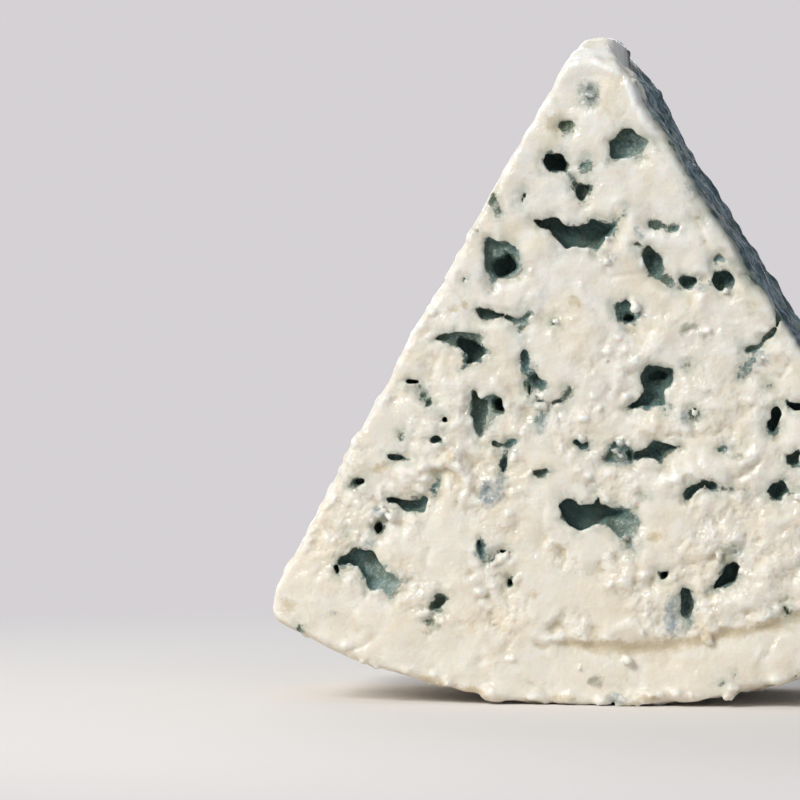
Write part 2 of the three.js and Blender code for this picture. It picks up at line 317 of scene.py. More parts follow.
FRONT_HOLLOWS = [
    Hollow(POOL, 2.4, 0.9, 0.15), Hollow(TIP_HOLE, 6, 0), Hollow(THROAT, 3, 0.15, 0.2),
    Hollow(BAT, 4.2, 0.22), Hollow(SHIELD, 1.5, 0.95, 0.2), pit(-13.2, 61.9, 3.6, 3.2, 7, 0),
    Hollow(SLIT, 2, 0.45, 0.25), Hollow(BROW, 1.5, 1, 0.5), Hollow(EYE, 5.5, 0.05),
    Hollow(DROP, 2.8, 0.3, 0.1), Hollow(SEED, 2.6, 0.1), Hollow(SOCKET, 2.8, 0.5), Hollow(NOTCH, 1.5, 0.65),
    pit(4.3, 54.5, 2, 1.2, 4, 0), Hollow(CENTRE, 3.4, 0.12), pit(8.5, 46.4, 3, 1.8, 6, 0.1),
    Hollow(OLIVE_FIN, 1.4, 0.7, 0.9), Hollow(SHAFT, 2.6, 0.8, 0.4), Hollow(SHAFT_WALL, 1, 1.3, 0.1),
    Hollow(SHAFT_EYE, 5, 0), Hollow(LIP, 2.4, 0.15), Hollow(KEYHOLE, 6, 0), Hollow(STAR, 3, 0.15),
    Hollow(COVE, 4.6, 0.2), Hollow(COVE_TAIL, 1.3, 1), Hollow(BOOMERANG, 3, 0.3, 0.1), Hollow(CLEFT, 4, 0),
    Hollow(LAGOON, 2, 0.8), Hollow(WEDGELET, 2.6, 0), Hollow(BURROW, 6, 0.05), Hollow(CHISEL, 2.2, 0.25),
    # Cracks and veins.
    crack(0.55, 1.4, 0.15, 0, (7.3, 67.7), (8.8, 67.6), (10.3, 66.6)),
    crack(0.5, 0.8, 0.8, 0, (10.3, 67.1), (12, 67.5)), crack(0.4, 1.2, 0.4, 0.6, (5.2, 65.1), (6.9, 63.8)),
    crack(0.55, 1, 0.7, 0.5, (9.2, 60.1), (10.2, 59.2), (11.4, 58.4)),
    crack(0.3, 0.9, 0.4, 0, (20.8, 60.2), (21.7, 60.2), (21.5, 58.4)),
    crack(0.35, 1, 0.5, 0, (-11.6, 53.8), (-11, 52.3)),
    crack(1.15, 1.6, 0.45, 0.4, (26.8, 56.2), (25.6, 54.9), (24.5, 52.8), (23, 51.3), (22, 50.3),
          (20.8, 50)),
    crack(0.7, 0.8, 0.9, 0, (21.8, 49.2), (21.3, 47.6), (20, 46.5)),
    crack(0.8, 1.3, 0.55, 0, (-10.6, 49.6), (-10.4, 47.6), (-9.4, 46.6)),
    crack(0.9, 2, 0.1, 0, (-9.2, 46.2), (-8.5, 45.5), (-8, 44.8)),
    crack(0.8, 1.6, 0.15, 0, (-10, 45), (-10.1, 43.2)),
    crack(0.8, 0.8, 0.85, 0, (-8.6, 42.6), (-7.9, 41.2), (-8.7, 39.2)),
    crack(0.5, 1.4, 0.2, 0, (-14.9, 36.9), (-13.4, 36.4), (-12.3, 37.2)),
    crack(0.4, 1.2, 0.3, 0, (-13, 36.4), (-13.1, 35.3)),
    crack(0.7, 2, 0.15, 0, (-13.7, 34.2), (-13.5, 32.4)),
    crack(0.7, 1.6, 0.2, 0, (-29.9, 35), (-28.2, 34.9), (-26.9, 34.6)),
    crack(0.35, 1.2, 0.2, 0, (-28.3, 38), (-27.9, 37.6)),
    crack(0.9, 1.7, 0.35, 0, (12.6, 29.6), (13.6, 30.9), (15, 31.4), (16.1, 30.8), (17, 30.1)),
    crack(0.25, 0.7, 0.4, 0, (17.5, 30.4), (19, 30.5), (20.6, 30.1)),
    crack(0.25, 0.8, 0.4, 0, (6.2, 29.9), (6.6, 29.2)), crack(0.3, 0.7, 0.4, 0, (17, 3.1), (18.9, 2.1)),
    # Bubbles and pits, with the cracks beside the strip.
    pit(-2.4, 86.5, 0.8, 0.6, 0.6, 1.1), pit(-1.2, 86.9, 0.7, 0.6, 0.6, 1.1),
    pit(-0.5, 86.1, 0.7, 0.8, 0.6, 1.2), pit(-1.5, 85.2, 0.9, 0.6, 0.6, 1.1),
    pit(-2.8, 85.5, 0.6, 0.6, 0.5, 1.3), pit(-4.7, 81.5, 2.3, 2, 1.4, 0.55, 0.9, -50),
    pit(-1.9, 76.1, 1.3, 1.8, 0.8, 0.8), pit(-3.5, 73.2, 0.9, 1.2, 1.2, 0.5),
    pit(-10.8, 71.6, 0.9, 2.1, 1.3, 0.4, 0.9, -25), pit(-15.1, 71, 0.9, 1.2, 0.8, 0.6, 0.7),
    pit(-14.3, 69.3, 0.6, 0.9, 0.6, 0.6, 0.4), pit(-17.5, 66.6, 0.6, 0.5, 0.5, 0.6),
    pit(3.5, 69.3, 0.3, 1, 0.8, 0.4, 0, -30), pit(13.9, 68.4, 0.9, 0.8, 0.8, 0.55),
    pit(13, 74.6, 0.8, 1.3, 0.8, 0.4, 0, 30),
    crack(0.9, 0.9, 0.35, 0.4, (5.7, 88.2), (7.2, 84.9), (7.9, 82.6)),
    crack(0.6, 0.8, 0.3, 0.3, (10.6, 79), (11.8, 76.9), (12.6, 75.6)),
    crack(0.5, 0.7, 0.4, 0.3, (14.6, 72.9), (16.4, 70.2)), pit(16.9, 62.7, 2.4, 1.5, 1.1, 0.9),
    pit(19.1, 62.3, 0.5, 0.5, 0.6, 0.4), pit(-19.2, 60.1, 0.8, 0.6, 0.9, 0.3),
    pit(-6.3, 54, 1.1, 1.3, 1, 0.75), pit(12.6, 47.8, 1, 0.8, 0.8, 0.6, 0.8),
    pit(24.2, 45.3, 1, 0.5, 0.7, 0.5), pit(-26.7, 45.4, 2.4, 1.6, 5, 0),
    pit(-25.2, 43.7, 0.9, 0.9, 1.2, 0.3), pit(-24.3, 42.5, 1, 0.9, 1, 0.4),
    pit(-22.1, 40.1, 0.9, 2, 4, 0, 0, -15), pit(-23.2, 37.5, 1.8, 1.7, 1.6, 0.4, 0.3),
    pit(-34.3, 31.3, 2.2, 1.3, 3, 0.1, 0.4), pit(-2.3, 36.7, 2, 2.3, 1.5, 0.2),
    pit(-8.2, 32.7, 2.4, 1.4, 1.3, 0.4, 0, 15), pit(3, 35.4, 3.6, 3, 1, 0.85),
    pit(4.4, 34.9, 1.1, 1.8, 2, 0.2), pit(1.2, 34.8, 0.9, 1.2, 1.4, 0.4), pit(13.4, 41, 1.6, 1.8, 0.9, 0.7),
    pit(28.2, 42.3, 2.8, 1.8, 4, 0.05), pit(27.6, 34.8, 1.8, 2.4, 2, 0.15, 0.2),
    pit(17.7, 36.3, 1.5, 0.9, 1, 0.5, 0.3), pit(-36.4, 24.4, 0.5, 0.5, 0.6, 0.2),
    pit(-37.6, 18.7, 1.1, 1.4, 3, 0), pit(-36.6, 19.7, 1.2, 0.8, 0.8, 0.7),
    pit(-22.8, 14.3, 3.2, 1.6, 2, 0.15, 0.4, 33), pit(-24.2, 11.6, 1.3, 1, 0.8, 0.9, 0.9),
    pit(-12.8, 17.2, 1.5, 1.3, 3, 0, 0, 30), pit(-17, 22.8, 0.8, 0.9, 1.2, 0.3),
    pit(-15, 20.3, 0.9, 0.4, 0.8, 0.3), pit(-16.4, 21.4, 1.9, 2.4, 0.7, 0.95),
    pit(9.3, 18.5, 1.5, 1.4, 4, 0), pit(5.5, 21.9, 0.6, 0.6, 0.8, 0.2), pit(19.2, 21.8, 1.2, 0.8, 0.9, 0.5),
    pit(26.4, 13.3, 0.9, 2.4, 1.2, 0.3, 0.8, 15), pit(19.1, 4.3, 0.5, 0.6, 0.6, 0.3),
    pit(27.8, 4.3, 0.5, 0.6, 0.6, 0.3), pit(-43, 10.4, 0.5, 1.4, 0.7, 0.4, 0.6, 20),
    pit(21.3, 56.2, 0.8, 0.7, 0.5, 1, 1),
    # Past what the photo shows of the right side, towards the corner.
    pit(31.5, 26.5, 3.4, 2.2, 3, 0.2, 0, -35), pit(33.5, 33, 1.8, 2.6, 4, 0, 0, 15),
    crack(1.2, 1.7, 0.3, 0, (29.5, 20.5), (31, 19.6), (33.2, 20.2), (34.5, 19.2)),
    pit(36.5, 23.8, 2.6, 1.7, 2.2, 0.35), pit(38.6, 17.2, 1.6, 1.3, 3, 0),
    pit(33.2, 13.6, 3, 1.4, 1.4, 0.6, 0.4, 20), pit(41.5, 19.5, 1, 1.4, 1.2, 0.3),
]

# Small pale knobs that stand in or beside the cavities: x, z and radius.
FRONT_KNOBS = [
    (1.8, 90.3, 0.3), (2.7, 89.5, 0.4), (3.6, 88.8, 0.35), (4.8, 88, 0.4), (-1.8, 86.1, 0.4),
    (-1.1, 85.8, 0.35), (-1.8, 87.2, 0.35), (-2.2, 84.8, 0.3), (5.1, 55.9, 0.75), (-2.4, 37.4, 0.55),
    (-2, 36.2, 0.35), (13.4, 41.2, 0.5), (17.8, 58.2, 0.4), (4.6, 56.8, 0.4), (-6.2, 54.1, 0.4),
    (2.2, 35.9, 0.6), (3.1, 35.2, 0.45), (-15.9, 22, 0.8), (-14.2, 20.5, 0.8), (-13.3, 21, 0.7),
    (-12.6, 20.2, 0.6), (-15.2, 19.7, 0.6), (-24.2, 12.9, 0.6), (-25.2, 12.6, 0.5), (-17, 15.8, 0.8),
    (-11.7, 17.7, 0.6), (3, 25, 0.4), (3.8, 23.8, 0.45), (0, 64.9, 0.35), (1, 65.8, 0.3),
    (-24.4, 51.9, 0.5), (10.3, 17.9, 0.5), (-30.8, 27.4, 0.5), (-25.8, 30.4, 0.9), (-31.5, 26.6, 0.6),
    (-29.7, 26.5, 0.7), (15.4, 23.4, 0.6),
]
# Curds pressed out along the bottom edge: x, z and radius.
RIM_CURDS = [
    (-15.2, 1.5, 1.4), (-13.8, 1.8, 0.8), (-4.6, 1.1, 0.7), (0.4, 0.9, 1), (2.4, 1.3, 0.8), (3.6, 0.9, 1.1),
    (5.2, 1.5, 0.8), (6.6, 1.2, 1.2), (8.4, 1.6, 0.7), (11.4, 1.9, 1.2), (13.1, 1.6, 0.8), (-21.5, 3, 0.8),
    (-27.5, 4.6, 0.9), (18.6, 2.6, 0.7), (-36.2, 8, 0.8), (24.6, 3.9, 0.7), (-9.3, 1.2, 0.8),
]
# Knife smears: ridges of soft paste as lines, with their width and height.
SMEARS = [
    ([(2, 41.2), (1.4, 43), (2.2, 45)], 1.4, 0.35),
    ([(3.4, 46.8), (7, 50.2), (9, 53.2)], 1.6, 0.3),
    ([(5.8, 48.6), (9.6, 52.6), (12.2, 56)], 1.3, 0.3),
    ([(9.5, 50.6), (12.8, 54.2), (14.6, 57.4)], 1.5, 0.25),
    ([(10, 32.2), (14, 33), (18.6, 33.6), (22, 35.2)], 2.4, 0.85),
    ([(17.2, 32), (20, 32.3), (22.8, 34)], 1.3, 0.4),
    ([(-20.4, 34.6), (-18.8, 31.4), (-19.5, 28.4)], 1.6, 0.65),
    ([(-27.6, 32.6), (-25, 33.8), (-21.4, 33.9)], 2.0, 0.7),
    ([(-30.2, 30.6), (-27.4, 31.2), (-25.2, 32)], 1.8, 0.4),
    ([(4.2, 68.6), (4.8, 66), (3.6, 63.4)], 2.0, 0.35),
    ([(6.6, 65.6), (10, 66), (13, 64.4), (14.4, 61.8)], 2.2, 0.3),
    ([(-1, 68.9), (2, 70.6), (5.6, 71.4)], 1.8, 0.2),
    ([(-0.2, 90.6), (2.4, 89.2), (4.4, 87.8), (6.2, 83.6), (7.4, 80)], 1.5, 0.4),
    ([(-14, 9.8), (-6, 9.4), (0.5, 9.8)], 1.6, 0.3),
    ([(-6.2, 12.2), (-2.6, 11), (-1.4, 13.8)], 1.6, 0.2),
    ([(1.4, 10.8), (5.6, 11.2), (9.2, 10.4)], 1.5, 0.35),
    ([(17.5, 14.4), (22, 15.6), (24.4, 18.4)], 2.6, 0.5),
    ([(-40.6, 14.2), (-35, 12.8), (-29, 9.6)], 2.0, 0.3),
    ([(5.5, 38.5), (8.4, 39.6), (12, 39.2)], 2.6, 0.4),
    ([(-14.5, 46), (-13.4, 42), (-11.8, 39.4)], 2.2, 0.3),
    ([(-22.6, 46.8), (-21.2, 43.6), (-20.8, 40.2)], 2.2, 0.3),
]
# Creases: thin valleys as lines, with their width and depth.
CREASES = [
    ([(0.6, 92), (3.2, 90.4), (5.5, 88.7), (6.9, 84.8)], 1.6, 0.75),
    ([(12.4, 69.2), (14, 67), (15.2, 65)], 0.9, 0.35),
    ([(4.2, 41.4), (2, 41.8), (0.9, 43.2), (1.6, 45.2)], 0.8, 0.4),
    ([(-25.2, 32.6), (-22, 33), (-20.2, 32.6), (-19.6, 30.4), (-20.2, 28)], 1.0, 0.65),
    ([(-31, 33.6), (-29.6, 34.4), (-28.4, 34.8)], 0.8, 0.35),
    ([(19, 32.2), (21, 33.2), (22.8, 34.6)], 1.0, 0.7),
    ([(9.6, 38.2), (13.2, 37.9), (16.5, 38.4)], 0.9, 0.35),
    ([(-2, 31.4), (-1, 30.2), (0, 29.6)], 0.7, 0.3),
    ([(4.4, 21.8), (5.6, 19.8), (5.2, 17)], 0.8, 0.35),
    ([(-23.6, 48.4), (-24.2, 46), (-23.2, 44.2)], 0.8, 0.3),
    ([(-1.6, 11.6), (-0.8, 9.8), (0.6, 8.9)], 0.8, 0.2),
]


class Stain:
    """Colour that lies on a face with no cavity under it. `kind` is blue, olive or tan."""

    def __init__(self, kind, u, v, width, height, tilt=0, strength=1.0):
        self.kind, self.centre, self.size = kind, (u, v), (width, height)
        self.tilt, self.strength = tilt, strength


# Stains on the front by kind: x, z, width, height, and for some tilt and strength.
STAIN_PLACES = {
    "blue": [
        (-1.5, 86, 3.4, 3.6), (-2.1, 76.1, 1.6, 2), (0.9, 76.8, 1.6, 0.8), (13, 73, 2.8, 1.6, 30),
        (-11.6, 63.2, 1.2, 2.6), (-15.2, 59.2, 0.9, 1.8), (5.4, 66.4, 1.4, 2.6, 30, 0.5),
        (1.9, 63.2, 2.4, 2, 0, 0.4), (14.7, 58.7, 2, 1.4, 0, 0.6), (-9.6, 46.4, 2.4, 5.2, 10, 0.8),
        (-8.4, 40.2, 2.2, 3.6, -15, 0.9), (-25.3, 44.2, 2.2, 3, 20, 0.8), (-13.2, 36.2, 3.2, 2, 0, 0.4),
        (-15.4, 29.9, 4.2, 3.6, 40), (-14.2, 31.8, 2.2, 2.4, 0, 0.9), (2.8, 35.4, 4.6, 3.8, 0, 0.9),
        (-2.3, 36.8, 2.6, 3, 0, 0.5), (12, 40.6, 2.4, 2.4, 0, 0.4), (17.7, 36.4, 2.4, 1.8, 0, 0.7),
        (14.9, 31.2, 3.4, 2.2, 0, 0.6), (4.2, 24.4, 2.2, 5.4, 10, 0.9), (-16.3, 21.6, 3, 3.4, 0, 0.6),
        (19.1, 21.8, 1.8, 1.4, 0, 0.9), (16, 16.9, 2.6, 1.6, 30, 0.7), (10.4, 13, 2.4, 6),
        (12.4, 13.6, 2.8, 6.2, 0, 0.6), (2.4, 0.9, 3.4, 2, 0, 0.8), (24.3, 13.8, 1.6, 2.4, 0, 0.4),
        (-33.2, 22.6, 2.4, 2, 0, 0.4), (-31.6, 27.2, 1.8, 2, 0, 0.8), (-38.2, 12.6, 1.6, 1.2, 0, 0.5),
        (22.6, 49.2, 2.6, 2.8, 30, 0.6), (-22.6, 22.6, 2, 1.2, 0, 0.2),
    ],
    "olive": [
        (12.5, 53.1, 2.8, 1.6, 20, 0.7), (14.4, 52.2, 1.4, 1, 0, 0.7), (19.4, 35.2, 2.4, 1.4, 20, 0.4),
        (3.8, 22.6, 1.4, 1.8, 0, 0.8), (18.2, 21.2, 3.2, 3.4, 0, 0.6), (-0.5, 3.4, 3, 2.2, 0, 0.35),
        (-23.6, 10.6, 3, 1.6, 30, 0.5), (-33, 5.4, 2, 0.8, -25, 0.5),
    ],
    "tan": [
        (-6.2, 81.9, 3, 2.4), (21.3, 56.2, 1.8, 1.5), (-19.2, 56.6, 1, 0.8), (-3.5, 57, 1.8, 1.4),
        (-20.9, 55.8, 1.2, 0.8), (-21.2, 34.8, 1.8, 1.8), (-31, 33.4, 3.2, 1.4, 20), (-6.1, 22.3, 1.4, 1),
        (-9, 15.5, 1.4, 1), (-4.2, 9.8, 1.4, 1), (7.5, 23.8, 1.8, 1.2), (-24, 3.4, 5, 1.6, -15, 0.6),
        (-18, 2, 4, 1.4, -8, 0.7), (-5, 1, 4, 1.2, 0, 0.7), (7, 1.3, 3, 1.4, 0, 0.8),
        (-44.8, 13.6, 3.2, 3, 0, 0.3),
    ],
}
FRONT_STAINS = [Stain(kind, *row) for kind, rows in STAIN_PLACES.items() for row in rows]


# ---------------------------------------------------------------------------------------- other faces

def hull(points):
    """The corners of the smallest convex outline round the points, anticlockwise."""
    points = sorted(set(map(tuple, np.round(points, 3))))

    def chain(ordered):
        made = []
        for p in ordered:
            while len(made) > 1:
                (ax, ay), (bx, by) = made[-2:]
                if (bx - ax) * (p[1] - ay) - (by - ay) * (p[0] - ax) > 0:
                    break
                made.pop()
            made.append(p)
        return made[:-1]

    return np.array(chain(points) + chain(points[::-1]))


cad_points = np.array([v.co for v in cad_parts[NODE].data.vertices]) / MM
OUTLINE = hull(cad_points[:, [0, 2]])

# The two knife cuts are the outline's longest edges.
edges = np.roll(OUTLINE, -1, axis=0) - OUTLINE
right_edge, left_edge = sorted(np.argsort(np.hypot(*edges.T))[-2:], key=lambda i: -OUTLINE[i][0])


def cut_face(edge):
    """The face that stands on one straight edge of the outline. u runs down the cut, v towards the back."""
    start, end = OUTLINE[edge], OUTLINE[(edge + 1) % len(OUTLINE)]
    if start[1] < end[1]:
        start, end = end, start
    down = (end - start) / np.hypot(*(end - start))
    back = 1 if edge == right_edge else -1
    face = Face((start[0], 0, start[1]), (down[0], 0, down[1]), (0, back, 0))
    face.length = np.hypot(*(end - start))
    return face


FRONT = Face((0, -HALF_THICKNESS, 0), (1, 0, 0), (0, 0, 1))
BACK = Face((0, HALF_THICKNESS, 0), (-1, 0, 0), (0, 0, 1))
LEFT = cut_face(left_edge)
RIGHT = cut_face(right_edge)


def outline_depth(x, z):
    """Distance to the wedge's outline in the plane of the cut faces, negative inside."""
    deepest = -1e9
    for (x0, z0), (x1, z1) in zip(OUTLINE, np.roll(OUTLINE, -1, axis=0)):
        length = math.hypot(x1 - x0, z1 - z0)
        deepest = np.maximum(deepest, ((x - x0) * (z1 - z0) - (z - z0) * (x1 - x0)) / length)
    return deepest


def ragged_outline(random, u, v, width, height, heading):
    """An uneven outline with corners, about width by height, drawn out along the heading in degrees."""
    corners = random.integers(6, 10)
    turns = 2 * math.pi * (np.arange(corners) + random.uniform(-0.3, 0.3, corners)) / corners
    radii = random.uniform(0.3, 0.62, corners)
    along, across = radii * width * np.cos(turns), radii * height * np.sin(turns)
    c, s = math.cos(math.radians(heading)), math.sin(math.radians(heading))
    return list(zip((u + along * c - across * s).tolist(), (v + along * s + across * c).tolist()))


def scatter(random, is_inside, spread, veins, singles):
    """Cavities and stains for a face: some strung along veins, some on their own."""
    spots = []
    for _ in range(veins):
        u, v = random.uniform(*spread)
        heading = random.uniform(0, 2 * math.pi)
        for _ in range(random.integers(4, 9)):
            spots.append((u, v, math.degrees(heading)))
            heading += random.uniform(-0.7, 0.7)
            u += random.uniform(2.5, 5.5) * math.cos(heading)
            v += random.uniform(2.5, 5.5) * math.sin(heading)
    spots += [(*random.uniform(*spread), random.uniform(0, 180)) for _ in range(singles)]
    hollows, stains = [], []
    for u, v, heading in spots:
        width = min(0.9 + random.exponential(1.5), 7)
        height = width * random.uniform(0.4, 0.9)
        pale, olive = random.uniform(0, 1.1), max(0, random.uniform(-0.6, 0.7))
        depth = random.uniform(0.6, 1.5) * (0.5 + 0.8 * height)
        if not is_inside(u, v, width / 2 + 0.8):
            continue
        outline = ragged_outline(random, u, v, width, height, heading)
        hollows.append(Hollow(outline, min(depth, 5), pale, olive, warp=0.5))
        if width > 2.2:
            du, dv = random.uniform(-0.45, 0.45, 2) * width
            shape = (u + du, v + dv, 0.7 * height, 0.5 * width)
            hollows.append(Hollow(shape, min(1.4 * depth, 6), 0.3 * pale, olive, heading, warp=0.6))
        if random.uniform() < 0.35:
            lean = math.radians(heading + random.uniform(-30, 30))
            line = [(u, v)]
            for _ in range(random.integers(2, 5)):
                lean += random.uniform(-0.6, 0.6)
                length = random.uniform(0.8, 1.8)
                end_u, end_v = line[-1]
                line.append((end_u + length * math.cos(lean), end_v + length * math.sin(lean)))
            if is_inside(*line[-1], 0.8):
                hollows.append(Hollow(line, 1.3, pale, olive, width=random.uniform(0.3, 0.8)))
        if random.uniform() < 0.6:
            size = width * random.uniform(1.2, 2.2)
            stains.append(Stain("blue", u, v, size, size * 0.7, heading, random.uniform(0.3, 0.9)))
    return hollows, stains


def in_cut(u, v, margin):
    return outline_depth(-u, v) < -margin - 1.5


def in_side(face):
    def test(u, v, margin):
        return 4 + margin < u < face.length - 2 - margin and abs(v) < HALF_THICKNESS - 1.5 - margin
    return test


side_random = np.random.default_rng(8)
cut_spread = ((-50, 6), (46, 90))
side_spread = ((4, -HALF_THICKNESS), (95, HALF_THICKNESS))
FEATURES = [(FRONT, FRONT_HOLLOWS, FRONT_STAINS)]
FEATURES.append((BACK, *scatter(side_random, in_cut, cut_spread, 30, 110)))
FEATURES.append((LEFT, *scatter(side_random, in_side(LEFT), side_spread, 13, 45)))
FEATURES.append((RIGHT, *scatter(side_random, in_side(RIGHT), side_spread, 9, 30)))


# ----------------------------------------------------------------------------------------- the field

def fine_ends(low, high, step, reach):
    """Grid places from low to high: `step` apart within `reach` of the ends, and wider between them."""
    places = [low]
    while places[-1] < high:
        end = min(places[-1] - low, high - places[-1])
        places.append(places[-1] + step * (1 + 0.9 * float(smoothstep(reach, reach + 4, end))))
    return np.array(places)


XS = np.arange(CAD_LOW[0] - GRID_MARGIN, CAD_HIGH[0] + GRID_MARGIN, GRID_STEP)
YS = fine_ends(CAD_LOW[1] - GRID_MARGIN, CAD_HIGH[1] + GRID_MARGIN, GRID_STEP, 7)
ZS = np.arange(CAD_LOW[2] - 3 * GRID_STEP, CAD_HIGH[2] + 2.6, GRID_STEP)
GRID = (XS, YS, ZS)
X, Y, Z = XS[:, None, None], YS[None, :, None], ZS[None, None, :]
SURFACE_BAND = 2.6  # how near to a face a place has to be for the face's relief to shift it

LONG_WAVE, SHORT_WAVE, EDGE_WAVE = Noise(17, 2), Noise(6.5, 2), Noise(5)
SIDE_LUMPS, SIDE_GRAIN = Noise(3.4, 2), Noise(1.3)
CRUMBLE_PATCH, PUCKER, SMEAR_GRAIN = Noise(9, 2), Noise(3.0, 2), Noise(2.2, 2, squash=(0.35, 1, 1))
CURD_PATCH = Noise(5, 2)
CRUMPLE, PILLOW = [Noise(1.4, 2), Noise(1.4, 2)], Noise(6, 2)


def line_shapes(shapes, x, z):
    """The summed height of ridges that follow lines: each has points, a width and a height."""
    total = 0
    for points, width, height in shapes:
        near = line_distance(x + 0.5 * WARPS[0](x, 3.0, z), z + 0.5 * WARPS[1](x, 3.0, z), points)
        total = total + 0.95 * height * np.exp(-(1.7 * near / width) ** 2)
    return total


def rim_depth(x, z):
    """How far a place lies in from the rim."""
    return WHEEL_RADIUS - np.hypot(x, z - WHEEL_CENTRE)


def ledge_depth(x, z):
    """The same, made uneven along the knife's step near the rim."""
    return rim_depth(x, z) + 0.5 * PUCKER(x, 40.0, z)


def crumble(x, z):
    """How crumbly the cut is: waxy near the point, all curds lower down, and smooth along the rim."""
    lower = 0.12 + 0.88 * smoothstep(66, 30, z + 8 * CRUMBLE_PATCH(x, 0.0, z))
    off_band = 0.3 + 0.7 * smoothstep(8, 10, rim_depth(x, z))
    return lower * off_band * smoothstep(-0.6, 0.4, CURD_PATCH(x, 1.0, z))


def ledge(x, z):
    """The knife's step near the rim: the band below it lies back a little."""
    from_rim = ledge_depth(x, z)
    below = smoothstep(9.9, 8.3, from_rim) * np.exp(-np.clip(8.6 - from_rim, 0, None) / 3.4)
    above = smoothstep(8.6, 9.9, from_rim) * np.exp(-np.clip(from_rim - 9.8, 0, None) / 2.2)
    along = smoothstep(-20, 0, x) * smoothstep(44, 34, x)
    return along * (0.05 * above - 0.7 * below)


def cut_relief(x, z, seed, amount):
    """How far the surface of a cut stands out, in millimetres. `amount` is how crumbly it is there."""
    wx, wz = x + 0.5 * CRUMPLE[0](x, seed, z), z + 0.5 * CRUMPLE[1](x, seed, z)
    curds = 0.3 * domes(wx, wz, 2.6, seed) + 0.42 * domes(wx, wz, 1.2, seed + 1)
    relief = amount * 0.72 * (curds - 0.55)
    relief = relief - (0.14 + 0.26 * amount) * np.abs(PUCKER(x, seed, z)) ** 0.7
    relief = relief + (0.1 + 0.08 * amount) * SMEAR_GRAIN(x, seed, z)
    relief = relief + 0.2 * PILLOW(x, seed + 9.0, z)
    seams = smoothstep(0.22, 0, np.abs(PILLOW(x, seed, z))) * smoothstep(-0.3, 0.3, CURD_PATCH(x, 7.0, z))
    return relief - 0.24 * seams + (0.04 + 0.1 * amount) * CRUMPLE[0](x, seed + 5.0, z)


def front_relief(x, z):
    relief = cut_relief(x, z, 3, crumble(x, z)) + ledge(x, z)
    return relief + line_shapes(SMEARS, x, z) - line_shapes(CREASES, x, z)


def waves(x, y, z):
    return 0.26 * LONG_WAVE(x, y, z) + 0.2 * SHORT_WAVE(x, y, z)


def side_relief(x, y, z):
    rough = 1 + 0.8 * smoothstep(0, 3, x) * smoothstep(92, 88, z)
    lumps = 0.14 * rough + 0.16 * smoothstep(3, 1, rim_depth(x, z))
    relief = lumps * SIDE_LUMPS(x, y, z) + 0.1 * rough * SIDE_GRAIN(x, y, z)
    for face, seed in ((LEFT, 21), (RIGHT, 31)):
        u, v, t = face.local(x, y, z)
        near = np.flatnonzero(np.abs(t) < SURFACE_BAND)
        cut = cut_relief(u[near], v[near], seed, 0.3 + 0.7 * crumble(x[near], z[near]))
        share = smoothstep(SURFACE_BAND, 1.2, np.abs(t[near]))
        from_end = np.minimum(u, face.length - u)[near]
        relief[near] += (cut + 0.15) * share * smoothstep(-1, 6, from_end)
    return relief


def base_field():
    flat_outline = outline_depth(XS[:, None], ZS[None, :])
    radius = EDGE_RADIUS + 0.5 * EDGE_WAVE(XS[:, None], 0.0, ZS[None, :])
    across = (flat_outline + radius)[:, None, :]
    deep = np.abs(Y) - HALF_THICKNESS + radius[:, None, :]
    field = np.minimum(np.maximum(across, deep), 0) + np.hypot(np.maximum(across, 0), np.maximum(deep, 0))
    return (field - radius[:, None, :]).astype(np.float32)


def add_relief(field):
    """Shifts the surface by the relief of the faces, near the surface only."""
    i, j, k = np.nonzero(np.abs(field) < 2.4)
    x, y, z = XS[i], YS[j], ZS[k]
    near_front = smoothstep(SURFACE_BAND, 1.0, y + HALF_THICKNESS)
    near_back = smoothstep(SURFACE_BAND, 1.0, HALF_THICKNESS - y)
    plane = XS[:, None], ZS[None, :]
    shift = waves(x, y, z)
    shift += near_front * front_relief(*plane)[i, k]
    shift += near_back * cut_relief(*plane, 11, crumble(*plane))[i, k]
    shift += (1 - near_front - near_back) * side_relief(x, y, z)
    field[i, j, k] -= shift


def block(centre, reach):
    """The part of the grid within `reach` of a place, as slices and coordinates."""
    found = []
    for places, c in zip(GRID, centre):
        found.append(slice(max(np.searchsorted(places, c - reach), 0), np.searchsorted(places, c + reach)))
    sx, sy, sz = found
    return tuple(found), X[sx], Y[:, sy], Z[:, :, sz]


def carve(field, face, hollow):
    reach = math.hypot(hollow.reach + 2, hollow.depth + 1.2)
    part, x, y, z = block(face.place(*hollow.centre), reach)
    if 0 in field[part].shape:
        return
    u, v, t = face.local(x, y, z)
    away = np.clip(hollow.outline(u, v), 0, None)
    dip = min(0.45, 0.3 * hollow.depth) * np.exp(-((away / 0.9) ** 2)) * (0.7 + 0.6 * WALL(u, 30.0, v))
    around = field[part] + dip * smoothstep(3, 1, t)
    field[part] = smooth_max(around, -hollow.distance(u, v, t), CARVE_BLEND)


def add_lump(field, centre, radii, blend=0.3):
    """Adds an uneven lump."""
    part, x, y, z = block(centre, max(radii) + 1)
    if 0 in field[part].shape:
        return
    u, v, w = (x - centre[0]) / radii[0], (y - centre[1]) / radii[1], (z - centre[2]) / radii[2]
    ratio = np.sqrt(u * u + v * v + w * w)
    distance = (ratio - 1) * min(radii) + min(0.45 * min(radii), 0.25) * KNOBBLE(x, y, z)
    field[part] = smooth_min(field[part], distance, blend)


def swell(field, centre, radii, amount):
    """Moves the surface out round a place by up to `amount`, or in if it is negative."""
    part, x, y, z = block(centre, 2 * max(radii))
    u, v, w = (x - centre[0]) / radii[0], (y - centre[1]) / radii[1], (z - centre[2]) / radii[2]
    field[part] -= amount * np.exp(-(u * u + v * v + w * w))


CAP_START, CAP_SLOPE = 91.0, 0.42  # the height at which the point's cap starts, and how steeply it rises


